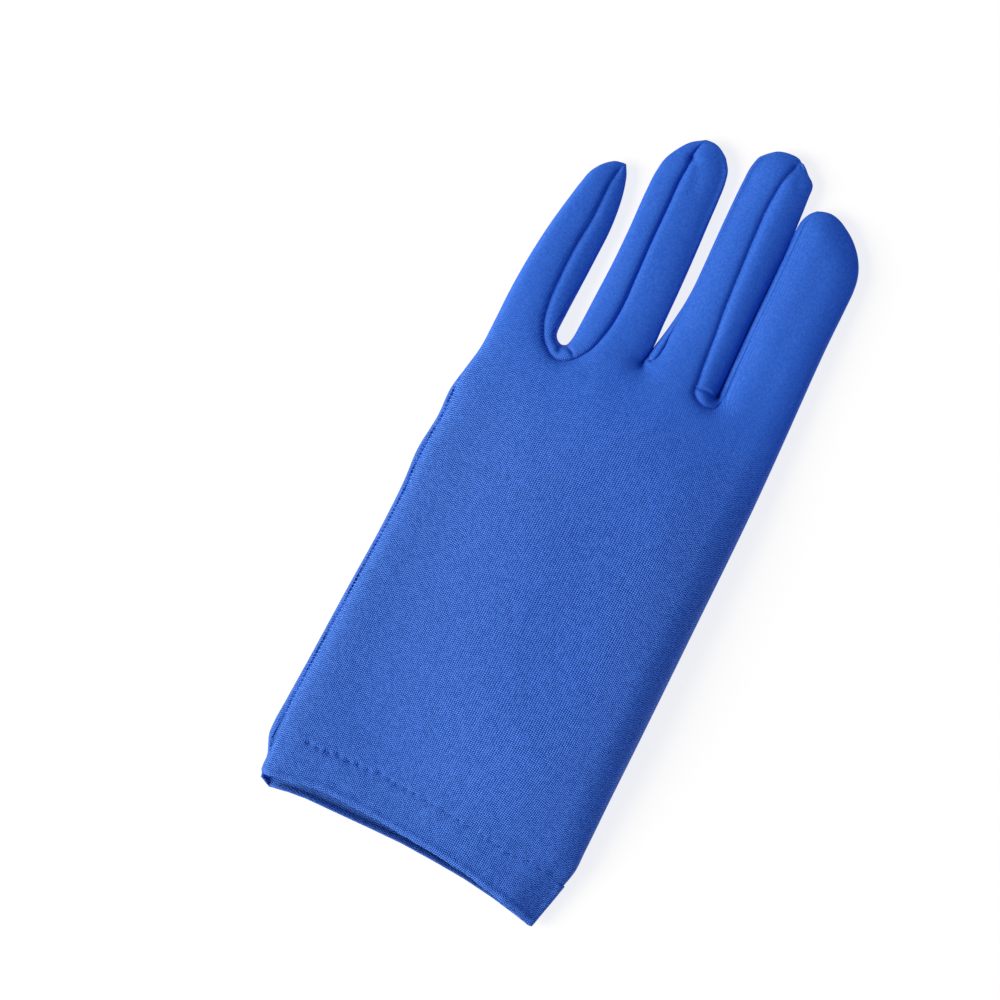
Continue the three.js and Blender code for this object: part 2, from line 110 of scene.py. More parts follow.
# Strips between the fingers, from the tip of the left finger round the crotch to the tip of the
# right one. Columns: outline x and y, seam on the back x and y, turn round the crotch in degrees.
fourchettes = {
    "fourchette_little_ring": [
        (-31.2, 202.5, -31.5, 202.5, 0), (-29.9, 200.3, -32.1, 200.6, 0),
        (-28.6, 196.6, -32.7, 196.8, 0), (-27.5, 191.5, -32.7, 191.5, 0),
        (-26.7, 184, -32.6, 184.5, 0), (-26.65, 175, -33.2, 175.5, 0),
        (-26.75, 165, -33.2, 166, 0), (-26.85, 157, -32.5, 157, 0), (-26.8, 152, -31.2, 151.9, 15),
        (-26.1, 150.2, -28.7, 147.6, 50), (-24.5, 149.2, -24.4, 144.8, 90),
        (-22.9, 149.8, -19.8, 146.3, 130), (-22.3, 151.8, -16.7, 150.4, 165),
        (-22.1, 156.5, -14.5, 157.2, 180), (-22, 166, -13.65, 166, 180),
        (-21.9, 176, -14.15, 176, 180), (-22.2, 187, -14.8, 187, 180),
        (-22.8, 198, -15.2, 198, 180), (-22.8, 205, -15.55, 205.5, 180),
        (-22, 209.6, -15.4, 210.5, 180), (-20.3, 213, -15.6, 213.6, 180),
        (-18, 216.2, -15, 217, 180), (-14.4, 218.8, -13.9, 218.9, 180),
    ],
    "fourchette_ring_middle": [
        (-7, 216.8, -7.4, 217.1, 0), (-5, 214.1, -5.7, 214.2, 0), (-4, 210.6, -4.8, 210.6, 0),
        (-3.4, 205, -4.2, 205, 0), (-3, 199, -3.8, 199, 0), (-2.4, 191, -3.2, 191, 0),
        (-1.9, 183, -2.7, 183, 0), (-1.5, 175, -2.3, 175, 0), (-1.2, 167, -2, 167, 0),
        (-0.84, 160.3, -1.8, 160.5, 0), (-1.1, 157.8, -2.1, 157.2, 15),
        (-1.6, 155.6, -2.4, 154.8, 50), (-1.6, 155.3, -1.5, 154.1, 90),
        (-1.6, 155.6, -0.1, 156.1, 130), (-1.2, 157.8, 1.25, 157.8, 165),
        (-0.84, 160.2, 1.85, 160.6, 180), (0.1, 165.5, 1.75, 165.5, 180),
        (0.8, 170.5, 1.85, 170.5, 180), (1.3, 175.5, 2.1, 175.5, 180), (1.45, 180, 2.25, 180, 180),
        (1.2, 187, 2.05, 187, 180), (0.75, 196, 1.6, 196, 180), (0.35, 206, 1.25, 206, 180),
        (0.2, 213, 1.1, 213, 180), (0.4, 218.6, 1.2, 218.4, 180), (1.3, 221.6, 2, 221.3, 180),
        (2.6, 223.1, 2.9, 223.4, 180),
    ],
    "fourchette_middle_index": [
        (12.6, 225.35, 12.1, 225.65, 0), (13.5, 224.75, 11.9, 225.1, 0), (15.2, 223.5, 11.5, 223.6, 0),
        (18, 221.4, 10.9, 221.2, 0), (18.4, 220.6, 10.6, 220.3, 0), (18.7, 218, 10.1, 217.8, 0),
        (19.1, 214, 9.8, 214, 0), (19.62, 208, 9.7, 208.5, 0), (20.0, 201, 10.1, 201, 0),
        (20.22, 194, 10.65, 194, 0), (20.42, 186, 11.3, 186, 0), (20.62, 178, 12, 178.5, 0),
        (20.97, 170, 13.05, 170.5, 0), (21.3, 162, 13.85, 162.5, 0),
        (21.48, 158, 14.6, 157.2, 15), (21.52, 156.4, 15.1, 153.9, 50),
        (21.52, 155.9, 18.6, 151.9, 90), (21.52, 156.4, 22.4, 152.9, 130),
        (21.44, 158, 23.2, 156.2, 165), (21.26, 162, 23, 162, 180), (20.92, 170, 22.65, 170, 180),
        (20.57, 178, 22.2, 178, 180), (20.37, 186, 21.95, 186, 180), (20.17, 194, 21.8, 194, 180),
        (19.99, 201, 21.6, 201, 180), (19.67, 208, 21.3, 207.8, 180), (20.05, 211.4, 21.3, 211.2, 180),
        (21.1, 213.7, 21.8, 213.4, 180), (22.2, 214.9, 22.5, 215.2, 180),
    ],
}

seams = {
    "depth": 0.6,
    "width": 1.1,
    "sharpness": 1.6,
    "valley": 0.42,  # the soft dip on both sides of a seam
    "valleyWidth": 1.6,
    "fade": (0.6, 2.5),  # how far in from the outline the dips begin and are full
    "pressed": 0.85,  # how much of its dip the seam beside the index finger lacks, round pressedAt
    "pressedAt": (22, 190),
    "pressedSize": (4, 32),
    "palmInset": 5.6,  # how far in from the outline the seams on the palm lie
    "tipInset": 0.5,  # the same at the fingertips, over tipLength
    "tipLength": 14,
    "palmRidge": 0.5,  # how far they stand up, away from the outline by more than ridgeFade
    "ridgeFade": 2.6,
}

# The hem, with its edges from the little finger side to the index side
hem = {
    "depth": 11.5,
    "flat": (0.9, 1.2),  # share of its height that the back has at its lip, left and right
    "flatTurn": (-30, 30),
    "flatLength": 17.0,
    "corner": 0.42,  # slope of the corner on the index side
    "cornerLift": (0.6, 8),  # what that slope adds at the hem and farther up
    "cornerFade": (5, 49),  # y between which it goes out
    "cornerBlend": 0.35,
    "pucker": 0.1,
    "puckerLengths": (1.9, 2.6, 3.1, 2.2),
    "puckerTop": (24, 18),
    "palmCurl": 2.7,
    "palmCurlLength": 1.35,
    "palmCurlFade": 3,
    "palmCurlGap": (-40.5, 2.2),  # where the curl is missing, and how widely
    "roll": 0.46,
    "lipRound": (0.2, 0.6),  # how far the back bends down at its lip, and over which length
    "bead": (0.35, 1.0, 0.7),  # the fold of the hem stands up a little: height, place behind the lip, width
    "bandTop": 25.0,
    "bandGap": 0.3,  # between the band's top and the next points of the outline
    "columns": 150,
    "crowding": 0.45,  # how much closer together they are near both sides
    "rows": 42,
    "rollSteps": 6,
    "cornerY": 5.0,  # where the columns' places across are taken for the roll
    "tightRoll": (0.3, 3.0),  # share of the roll at the index side's corner, and over which length
    "tuck": 0.25,  # how much closer the turned-in cloth's edge lies
    "backEdge": [
        (-44.7, 4.3), (-43.2, 3.7), (-41.6, 4), (-39.9, 4.7), (-37.5, 4.9), (-35, 5.1), (-32.5, 5.9),
        (-29, 6.6), (-25, 6.95), (-18, 7), (-10, 6.8), (0, 6.25), (10, 5.7), (20, 4.7), (30, 2.8),
        (38, 1.2), (42.9, -0.2),
    ],
    "palmEdge": [
        (-44.7, 4.3), (-43.9, 2.6), (-42.4, 1.6), (-40.7, 0.9), (-38.5, 1.4), (-35, 2.2), (-30, 2.8),
        (-20, 3.2), (-10, 3.6), (0, 3.9), (10, 3.6), (20, 3.1), (30, 2), (38, 0.7), (42.9, -0.2),
    ],
    "stitchLine": [
        (-36, 17.3), (-30, 17.7), (-24, 18.1), (-18, 18.5), (-11, 18.8), (-3, 18.2), (6, 17.7),
        (14, 17.3), (22, 16.2), (30, 15.6), (41, 15.9),
    ],
    "stitchPitch": 3.7,
    "stitchUneven": 0.22,
    "stitchDent": 0.8,
    "stitchRadius": (0.91, 0.7),
    "stitchFade": (-12, 4),  # x between which the dents become fainter, by faintness
    "faintness": 0.6,
}

# Seam down the little finger side, where the palm shows a little beyond the back
sideSeam = {
    "rim": 1.7,
    "rimShape": (1.5, 0.8),  # fullest towards the seam, and round
    "groove": 1.3,  # height of the shallow groove's floor above the edge
    "grooveSides": (0.5, 0.7),  # over which distance and which width of the rim that floor is reached
    "grooveReach": 1,  # how far past the seam it goes on
    "line": [
        (-45.5, 129.5), (-45.3, 125), (-44.9, 120), (-44.9, 115), (-45.2, 108), (-45.2, 101),
        (-44.7, 94), (-44.8, 84), (-45, 70), (-45.4, 52), (-45.7, 34), (-45.8, 21), (-45.6, 15.5),
        (-45.2, 12), (-44.95, 8),
    ],
}

# Low waves of the back: height, length across, length along, and where each starts
waves = {"broad": (0.14, 15, 21, 1.3, 0.4), "fine": (0.08, 7.5, 26)}

# Creases pressed into the back: depth, width, and the points that each runs through
creases = [
    # pinch of the ring finger's tip
    (0.4, 1.2, [(-15.2, 212.6), (-13.4, 211.6), (-12, 209), (-11.1, 204.5)]),
    # darts beside the little finger, the index finger and the middle finger
    (0.7, 0.45, [(-24.2, 149), (-23, 149.1), (-21.6, 149), (-20.2, 148.1)]),
    (0.75, 0.5, [(15.3, 155.2), (16.4, 155.9), (18, 156), (19.4, 155.6), (20.8, 155.1)]),
    (0.5, 0.4, [(-1, 157.3), (-0.5, 156.7), (0.3, 156.6)]),
    # tip of the middle finger
    (0.35, 1.8, [(12.4, 225.3), (13.2, 222), (14.2, 219.4)]),
    # soft fold from the middle crotch
    (0.3, 3.2, [(-1.8, 153.2), (-7, 149.5), (-14, 146.5)]),
]

# Small dents and bumps of the back: x, y, height, radius
spots = [
    (-24.1, 147.6, -0.95, 0.75),
    (-21.8, 147.6, 0.35, 1.4),
    (-15.4, 212.4, -0.8, 0.9),
    (-1.4, 154.2, -0.9, 0.8),
    (18.9, 153.8, 0.55, 2.2),
    (21.5, 156.2, -0.8, 0.8),
    (-41.2, 5.6, 0.5, 2.4),
]

thumb = {
    "root": (21.9, 62.0),
    "length": 72.0,
    "width": 22.0,
    "thickness": 5.9,
    "lean": math.radians(15),
    "roofMargin": 3.0,
    "palmSlope": 11.0,
    "palmGap": 0.3,
    "backSlope": 46.0,
    "sunk": 0.7,  # how far the thumb sinks into the cloth over it
    "steep": (0.5, 0.88),  # how steeply that cloth falls to the edges, from the middle line to steepX
    "steepX": 25,
    "easyFall": (-2, 24),  # distances from the edge over which it falls where it isn't steep
    "holeLength": 26.0,
    "holeWidth": 13.0,
    "holeShift": 1.0,  # how far the hole is moved towards the thumb's tip
    "holePoints": 48,
    "endPoints": 26,
    "sidePoints": 40,
    "round": 5.5,  # how far in from its outline the thumb keeps rising
    "holeRim": (0.3, 1.5),  # height and width of the seam round the hole
}


def cut(values, low, high):
    return np.minimum(np.maximum(values, low), high)


def smooth(values):
    t = cut(values, 0, 1)
    return t * t * (3 - 2 * t)


# Goes gently from 0 to 1 as the values go from start to end
def between(values, start, end):
    return smooth((values - start) / (end - start))


def mix(pair, share):
    return pair[0] + (pair[1] - pair[0]) * share


def bell(values):
    return np.exp(-values**2)


# A smooth curve through rows of values, with points about a step apart. finer has one number for
# each stretch, which makes its points that much closer.
def curve(rows, step=None, finer=None):
    rows = np.array(rows, float)
    step = step or glove["step"]
    chords = np.abs(np.diff(rows[:, :4], axis=0)).max(axis=1)
    finer = np.ones(len(chords)) if finer is None else finer
    slopes = np.gradient(rows, np.concatenate([[0], np.cumsum(chords)]), axis=0)
    found = []
    for i, chord in enumerate(chords):
        count = max(2, math.ceil(chord * finer[i] / step))
        t = (np.arange(count) / count)[:, None]
        found.append(
            (2 * t**3 - 3 * t**2 + 1) * rows[i]
            + (t**3 - 2 * t**2 + t) * slopes[i] * chord
            + (3 * t**2 - 2 * t**3) * rows[i + 1]
            + (t**3 - t**2) * slopes[i + 1] * chord
        )
    return np.vstack(found + [rows[-1:]])


def distanceTo(line, points):
    a, b = line[:-1], line[1:]
    along = b - a
    lengths = np.maximum((along**2).sum(axis=1), 1e-12)
    nearest = np.empty(len(points))
    for start in range(0, len(points), 2000):
        p = points[start:start + 2000, None, :] - a[None]
        t = cut((p * along).sum(axis=2) / lengths, 0, 1)
        gap = p - t[..., None] * along
        nearest[start:start + 2000] = np.sqrt((gap**2).sum(axis=2).min(axis=1))
    return nearest


def inside(polygon, points):
    x, y = points[:, 0], points[:, 1]
    hits = np.zeros(len(points), bool)
    for (ax, ay), (bx, by) in zip(polygon, np.roll(polygon, -1, axis=0)):
        if ay != by:
            crosses = (ay > y) != (by > y)
            hits ^= crosses & (x < (bx - ax) * (y - ay) / (by - ay) + ax)
    return hits


# The lines that all pieces share
sideLine = curve(littleSide)
indexLine = curve(indexSide)
tipLines = [curve(ringTip), curve(middleTip)]
strips = {}
for name, rows in fourchettes.items():
    turns = np.array(rows)[:, 4]
    samples = curve(rows, finer=np.where(np.diff(turns) > 0, glove["finer"], 1))
    turn = np.radians(samples[:, 4])
    away = np.column_stack([-np.cos(turn), -np.sin(turn)])
    order = np.arange(len(samples))
    fromTip = np.minimum(order, len(samples) - 1 - order) * glove["step"]
    inset = mix((seams["tipInset"], seams["palmInset"]), smooth(fromTip / seams["tipLength"]))
    strips[name] = {
        "outline": samples[:, :2],
        "back": samples[:, 2:4],
        "palm": samples[:, :2] + away * inset[:, None],
    }
first, second, third = strips.values()
outline = np.vstack([
    sideLine, first["outline"], tipLines[0], second["outline"], tipLines[1], third["outline"], indexLine,
])
sideSeamLine = curve(sideSeam["line"])
print("outline and seams drawn")


def roundness(distance, reach):
    return np.sqrt(1 - (1 - cut(distance / reach, 0, 1)) ** 2)


def crown(share):
    return 1 - (1 - cut(share, 0, 1)) ** 2


def sideAt(line, y):
    order = np.argsort(line[:, 1])
    return np.interp(y, line[order, 1], line[order, 0])


# The line down the middle of the folded thumb, between the centres of its round ends
thumbSpan = thumb["length"] - thumb["width"]
rootX, rootY = thumb["root"]
thumbLine = np.array([
    (rootX, rootY),
    (rootX - thumbSpan * math.sin(thumb["lean"]), rootY + thumbSpan * math.cos(thumb["lean"])),
])


def pastThumb(points):
    return distanceTo(thumbLine, points) - thumb["width"] / 2 - thumb["roofMargin"]


# The rounded body of the back, before its seams and dents. reach is the distance from its edge.
def bodyHeight(points, reach, full):
    x, y = points[:, 0], points[:, 1]
    z = glove["edgeHeight"] + glove["fold"] * full
    fingers = mix((glove["handArch"], 1), between(y, *glove["knuckles"]))
    z += mix(glove["arch"], between(x, *glove["archTurn"]) * fingers) * crown(reach / glove["archRound"])
    z -= glove["tips"] * full * between(y, *glove["tipsFall"])
    fromIndex = sideAt(indexLine, y) - x
    rise = glove["handRise"] + glove["slope"] * crown(fromIndex / glove["slopeLength"])
    z += rise * full * between(y, *glove["handTop"])
    steep = mix(thumb["steep"], smooth(x / thumb["steepX"]))
    roof = mix((between(reach, *thumb["easyFall"]), roundness(reach, glove["edgeRound"])), steep)
    lift = thumb["thickness"] - thumb["sunk"]
    z += lift * smooth(1 - pastThumb(points) / thumb["backSlope"]) * roof * full
    # The little finger leans over to the right
    leaning = between(y, *glove["leanFrom"]) * (x < glove["leanEnd"])
    z -= glove["lean"] * (x - glove["leanX"]) * full * leaning
    height, across, along, startAcross, startAlong = waves["broad"]
    z += full * height * np.sin(x / across + startAcross) * np.cos(y / along + startAlong)
    height, across, along = waves["fine"]
    z += full * height * np.sin(x / across - y / along)
    a, b, c, d = hem["puckerLengths"]
    puckers = np.sin(x / a + y / b) * np.sin(x / c - y / d + 1)
    z += full * hem["pucker"] * puckers * between(y, *hem["puckerTop"])
    # The hem's corner on the index side slopes down to the table
    low, high = hem["cornerLift"]
    ramp = glove["edgeHeight"] + low + hem["corner"] * fromIndex + high * between(y, *hem["cornerFade"])
    blend = hem["cornerBlend"]
    return -blend * np.log(np.exp(-z / blend) + np.exp(-ramp / blend))


# How much lower the back lies at its seams, creases, dents and stitches
def pressedIn(points, distance):
    x, y = points[:, 0], points[:, 1]
    middle, size = seams["pressedAt"], seams["pressedSize"]
    pressed = bell((x - middle[0]) / size[0]) * bell((y - middle[1]) / size[1])
    shown = between(distance, *seams["fade"]) * (1 - seams["pressed"] * pressed)
    down = np.zeros(len(points))
    for strip in strips.values():
        gap = distanceTo(strip["back"], points)
        down += shown * seams["depth"] * (1 - cut(gap / seams["width"], 0, 1)) ** seams["sharpness"]
        down += shown * seams["valley"] * bell(gap / seams["valleyWidth"])
    for depth, width, line in creases:
        down += depth * bell(distanceTo(curve(line), points) / width)
    for cx, cy, height, radius in spots:
        down -= height * bell((x - cx) / radius) * bell((y - cy) / radius)
    across, along = hem["stitchRadius"]
    for cx, cy in stitchPlaces:
        dent = hem["stitchDent"] * (1 - hem["faintness"] * between(cx, *hem["stitchFade"]))
        down += dent * bell((x - cx) / across) * bell((y - cy) / along)
    return down


def backHeight(points):
    x, y = points[:, 0], points[:, 1]
    edge = glove["edgeHeight"]
    distance = distanceTo(outline, points)
    # The side seam takes the outline's place for the back, and the palm's rim shows beyond it
    beside = (y > sideSeamLine[:, 1].min()) & (y < sideSeamLine[:, 1].max())
    seamX, outlineX = sideAt(sideSeamLine, y), sideAt(sideLine, y)
    beyond = beside & (x < seamX)
    reach = np.where(beside & ~beyond, np.minimum(distance, distanceTo(sideSeamLine, points)), distance)
    full = roundness(reach, glove["foldRound"])
    z = bodyHeight(points, reach, full) - pressedIn(points, distance)
    # The lip of the hem
    fromLip = y - np.interp(x, *np.array(hem["backEdge"]).T) - hem["roll"]
    down, length = hem["lipRound"]
    z -= down * (1 - cut(fromLip / length, 0, 1)) ** 2
    up, place, width = hem["bead"]
    z += full * up * bell((fromLip - place) / width)
    kept = mix(hem["flat"], between(x, *hem["flatTurn"]))
    z = edge + (z - edge) * mix((kept, 1), smooth(fromLip / hem["flatLength"]))
    # The palm's rim and the floor of the groove beside it
    rimWidth = seamX - outlineX
    fullest, roundly = sideSeam["rimShape"]
    u = cut((x - outlineX) / np.maximum(rimWidth, 1e-6), 0, 1)
    rim = sideSeam["rim"] * np.sin(np.pi * u**fullest) ** roundly * cut(rimWidth, 0, 1)
    z = np.where(beyond, edge + rim, z)
    fade, width = sideSeam["grooveSides"]
    floor = edge + sideSeam["groove"] * smooth((x - outlineX) / fade) * smooth(rimWidth / width)
    z = np.where(beside & (x < seamX + sideSeam["grooveReach"]), np.maximum(z, floor), z)
    return np.where(distance < 1e-4, edge, z)


def palmHeight(points):
    x, y = points[:, 0], points[:, 1]
    distance = distanceTo(outline, points)
    full = roundness(distance, glove["edgeRound"])
    lift = (thumb["thickness"] + thumb["palmGap"]) * smooth(1 - pastThumb(points) / thumb["palmSlope"])
    z = glove["edgeHeight"] * (1 - cut(glove["palmRound"] * full, 0, 1)) + lift * smooth(2 * full)
    for strip in strips.values():
        gap = distanceTo(strip["palm"], points)
        ridge = seams["palmRidge"] * smooth(distance / seams["ridgeFade"])
        z += ridge * (1 - roundness(gap, seams["width"]))
    fromEdge = (y - np.interp(x, *np.array(hem["palmEdge"]).T)) / hem["palmCurlLength"]
    gapX, gapWidth = hem["palmCurlGap"]
    shown = smooth(distance / hem["palmCurlFade"]) * (1 - bell((x - gapX) / gapWidth))
    z += hem["palmCurl"] * shown * bell(fromEdge)
    return np.where(distance < 1e-4, glove["edgeHeight"], z)


heights = {"back": backHeight, "palm": palmHeight}
stitchLine = curve(hem["stitchLine"], hem["stitchPitch"])
stitchPlaces = stitchLine + rng.normal(0, hem["stitchUneven"], stitchLine.shape)


# A mesh object from vertices in glove millimetres, given its cloth's thickness inwards.
def piece(name, vertices, faces, material, cloth=glove["cloth"], merge=True):
    places = np.array(vertices, float)
    places[:, 0] += glove["middleX"]
    places[:, 1] += glove["hemY"]
    mesh = bpy.data.meshes.new(name)
    mesh.from_pydata((places * mm).tolist(), [], [list(map(int, face)) for face in faces])
    made = bpy.data.objects.new(name, mesh)
    bpy.context.scene.collection.objects.link(made)
    bpy.ops.object.select_all(action="DESELECT")
    bpy.context.view_layer.objects.active = made
    made.select_set(True)
    if merge:
        bpy.ops.object.mode_set(mode="EDIT")
        bpy.ops.mesh.select_all(action="SELECT")
        bpy.ops.mesh.remove_doubles(threshold=glove["merge"] * mm)
        bpy.ops.object.mode_set(mode="OBJECT")
    bpy.ops.object.shade_smooth()
    if cloth:
        solidify = made.modifiers.new("cloth", "SOLIDIFY")
        solidify.thickness = cloth * mm
        solidify.offset = -1
        bpy.ops.object.modifier_apply(modifier=solidify.name)
    made.data.materials.append(material)
    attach(made, "root")
    print(name, "made,", len(made.data.polygons), "faces")
    return made


# Fills a closed line with triangles: rows close to its rim and to the hole's, then even points.
# ridge is an open line inside it that gets rows of its own.
def filled(rim, hole=None, ridge=None):
    offsets, spacing = glove["rows"], glove["inside"]
    rims = [rim] if hole is None else [rim, hole]
    closed = [np.vstack([line, line[:1]]) for line in rims]

    def allowed(points, least):
        keep = inside(rim, points)
        for line in rims[1:]:
            keep &= ~inside(line, points)
        for line in closed:
            keep &= distanceTo(line, points) > least
        return points[keep]

    rows = []
    for line in rims:
        tangent = np.roll(line, -1, axis=0) - np.roll(line, 1, axis=0)
        tangent /= np.linalg.norm(tangent, axis=1)[:, None]
        normal = np.column_stack([-tangent[:, 1], tangent[:, 0]])
        for offset in offsets:
            for side in (1, -1):
                rows.append(allowed(line + side * offset * normal, 0.94 * offset))
    if ridge is not None:
        for offset in glove["ridgeRows"]:
            rows.append(allowed(ridge + np.array([offset, 0]), 0.1))
    low, high = rim.min(axis=0), rim.max(axis=0)
    grid = [
        (x + (i % 2) * spacing / 2, y)
        for i, y in enumerate(np.arange(low[1], high[1], spacing * 0.866))
        for x in np.arange(low[0], high[0], spacing)
    ]
    rows.append(allowed(np.array(grid), offsets[-1] + 0.5 * spacing))
    points = np.vstack(rims + rows)
    holeEdges = []
    if hole is not None:
        holeEdges = [(len(rim) + i, len(rim) + (i + 1) % len(hole)) for i in range(len(hole))]
    result = delaunay_2d_cdt(
        [Vector(p) for p in points.tolist()], holeEdges, [list(range(len(rim)))], 1, 1e-5,
    )
    flat = np.array([tuple(v) for v in result[0]])
    triangles = np.array([list(face) for face in result[2] if len(face) == 3])
    if hole is not None:
        triangles = triangles[~inside(hole, flat[triangles].mean(axis=1))]
    a, b, c = (flat[triangles[:, i]] for i in range(3))
    turned = (b[:, 0] - a[:, 0]) * (c[:, 1] - a[:, 1]) < (b[:, 1] - a[:, 1]) * (c[:, 0] - a[:, 0])
    triangles[turned] = triangles[turned][:, ::-1]
    return flat, triangles


# Shares of the way across for the hem's columns, closer together near both sides
even = np.linspace(0, 1, hem["columns"] + 1)
share = (1 - hem["crowding"]) * even + hem["crowding"] * (0.5 - 0.5 * np.cos(np.pi * even))


def rowAcross(y):
    left, right = sideAt(sideLine, y), sideAt(indexLine, y)
    return np.column_stack([left + (right - left) * share, np.broadcast_to(y, share.shape)])


topRow = rowAcross(hem["bandTop"])


# The sheet of the back or the palm, from the top of the hem band to the fingertips.
def sheet(side, hole=None):
    above = hem["bandTop"] + hem["bandGap"]
    rim = np.vstack([
        topRow[:1], sideLine[sideLine[:, 1] > above],
        first[side], tipLines[0], second[side], tipLines[1], third[side],
        indexLine[indexLine[:, 1] > above], topRow[:0:-1],
    ])
    ridge = sideSeamLine[sideSeamLine[:, 1] > above] if side == "back" else None
    flat, triangles = filled(rim, hole, ridge)
    z = heights[side](flat)
    if side == "palm":
        triangles = triangles[:, ::-1]
    return np.column_stack([flat, z]), triangles


# The tube from the hem band's top to the hem, rolled in there and carried back up inside.
def hemBand():
    corners = rowAcross(np.array(hem["cornerY"]))[:, 0]
    tight, tightLength = hem["tightRoll"]
    rolls = hem["roll"] * mix((tight, 1), smooth((corners[-1] - corners) / tightLength))
    loops = []
    stops = np.linspace(1, 0, hem["rows"] + 1)
    for side, edge in (("back", hem["backEdge"]), ("palm", hem["palmEdge"])):
        low = np.interp(corners, *np.array(edge).T) + rolls
        grid = []
        for stop in stops:
            row = rowAcross(low + stop * (hem["bandTop"] - low))
            grid.append(np.column_stack([row, heights[side](row)]))
        grid = np.array(grid)
        loops.append(grid if side == "back" else grid[:, ::-1][:, 1:-1])
    outer = np.concatenate(loops, axis=1)
    along = np.roll(outer, -1, axis=1) - np.roll(outer, 1, axis=1)
    normal = np.stack([-along[..., 2], np.zeros(along.shape[:2]), along[..., 0]], axis=2)
    normal /= np.linalg.norm(normal, axis=2)[..., None]
    roll = np.concatenate([rolls, rolls[::-1][1:-1]])[:, None]
    rows = list(outer)
    for angle in np.linspace(0, np.pi, hem["rollSteps"] + 1)[1:]:
        rows.append(
            outer[-1] - roll * normal[-1]
            + roll * (math.cos(angle) * normal[-1] + math.sin(angle) * np.array([0, -1, 0]))
        )
    turned = hem["depth"] / (hem["bandTop"] - hem["cornerY"])
    for row, stop in list(zip(range(len(stops)), stops))[::-1][1:]:
        if stop <= turned:
            inset = 2 * roll * (1 - hem["tuck"] * between(stop / turned, 0.7, 1))
            rows.append(outer[row] - inset * normal[row])
    vertices = np.array(rows)
    count = vertices.shape[1]
    faces = [
        (r * count + c, (r + 1) * count + c, (r + 1) * count + (c + 1) % count, r * count + (c + 1) % count)
        for r in range(len(vertices) - 1) for c in range(count)
    ]
    return vertices.reshape(-1, 3), faces


def joined(parts):
    vertices, faces, base = [], [], 0
    for places, found in parts:
        vertices.append(places)
        faces += [[base + int(i) for i in face] for face in found]
        base += len(places)
    return np.vstack(vertices), faces


# A small thread along a line of places, for stitches, which gets thinner at both ends.
def thread(line, radius, sides=6):
    line = np.array(line)
    ahead = np.gradient(line, axis=0)
    ahead /= np.linalg.norm(ahead, axis=1)[:, None]
    across = np.cross(ahead, [0, 0, 1])
    across /= np.linalg.norm(across, axis=1)[:, None]
    above = np.cross(across, ahead)
    rings = []
    for i, place in enumerate(line):
        end = min(i, len(line) - 1 - i) / 1.5
        size = radius * math.sqrt(min(1, 0.15 + end))
        for k in range(sides):
            angle = 2 * math.pi * k / sides
            rings.append(place + size * (math.cos(angle) * across[i] + math.sin(angle) * above[i]))
    faces = [
        (r * sides + k, r * sides + (k + 1) % sides, (r + 1) * sides + (k + 1) % sides, (r + 1) * sides + k)
        for r in range(len(line) - 1) for k in range(sides)
    ]
    faces += [tuple(range(sides))[::-1], tuple(range((len(line) - 1) * sides, len(line) * sides))]
    return np.array(rings), faces


# Materials

def linear(code):
    channels = [int(code[i:i + 2], 16) / 255 for i in (0, 2, 4)]
    return tuple(c / 12.92 if c <= 0.04045 else ((c + 0.055) / 1.055) ** 2.4 for c in channels) + (1.0,)


def addNode(tree, kind, inputs, **settings):
    node = tree.nodes.new("ShaderNode" + kind)
    for name, value in settings.items():
        setattr(node, name, value)
    for socket, value in inputs.items():
        if isinstance(value, bpy.types.NodeSocket):
            tree.links.new(value, node.inputs[socket])
        else:
            node.inputs[socket].default_value = value
    return node


def calculate(tree, operation, *values):
    return addNode(tree, "Math", dict(enumerate(values)), operation=operation).outputs[0]


tricot = {
    "light": "5B95FF",
    "mid": "255CC9",
    "dark": "05287E",
    "roughness": 0.66,
    "specular": 0.1,
    "sheen": 0.025,
    "sheenTint": "9DB8F5",
    "wale": 0.54,  # stitches across and along the hand, at their real spacing
    "course": 0.565,
    "wales": 0.6,  # how strongly columns and rows of loops show
    "courses": 0.64,
    "chance": 0.36,  # how much single loops differ
    "stray": 1.2,  # how far columns and rows stray, in loops
    "straySize": 6.25,
    "sides": 30.0,  # how far from the middle line the columns have turned to the sides
    "height": 7.5,  # height of the back, where columns keep their place
    "grain": (0.05, 1.0),  # how much of the loops shows on the fingers and at the hem
    "grainFrom": (52.0, -10.0),
    "patchSize": 50 / 3,
    "patches": 0.2,
    "fuzzSize": 2 / 3,
    "fuzz": 0.26,
    "blotchSize": 3.846,
    "blotches": 0.04,
    "tone": 0.405,  # the colour of plain cloth, from dark to light
    # painted shade: how much darker the loosened knit towards the hem is painted
    "slackShade": -0.05,
    "relief": 0.08,
    "fuzzRelief": 0.3,
    "bump": 0.8,
}
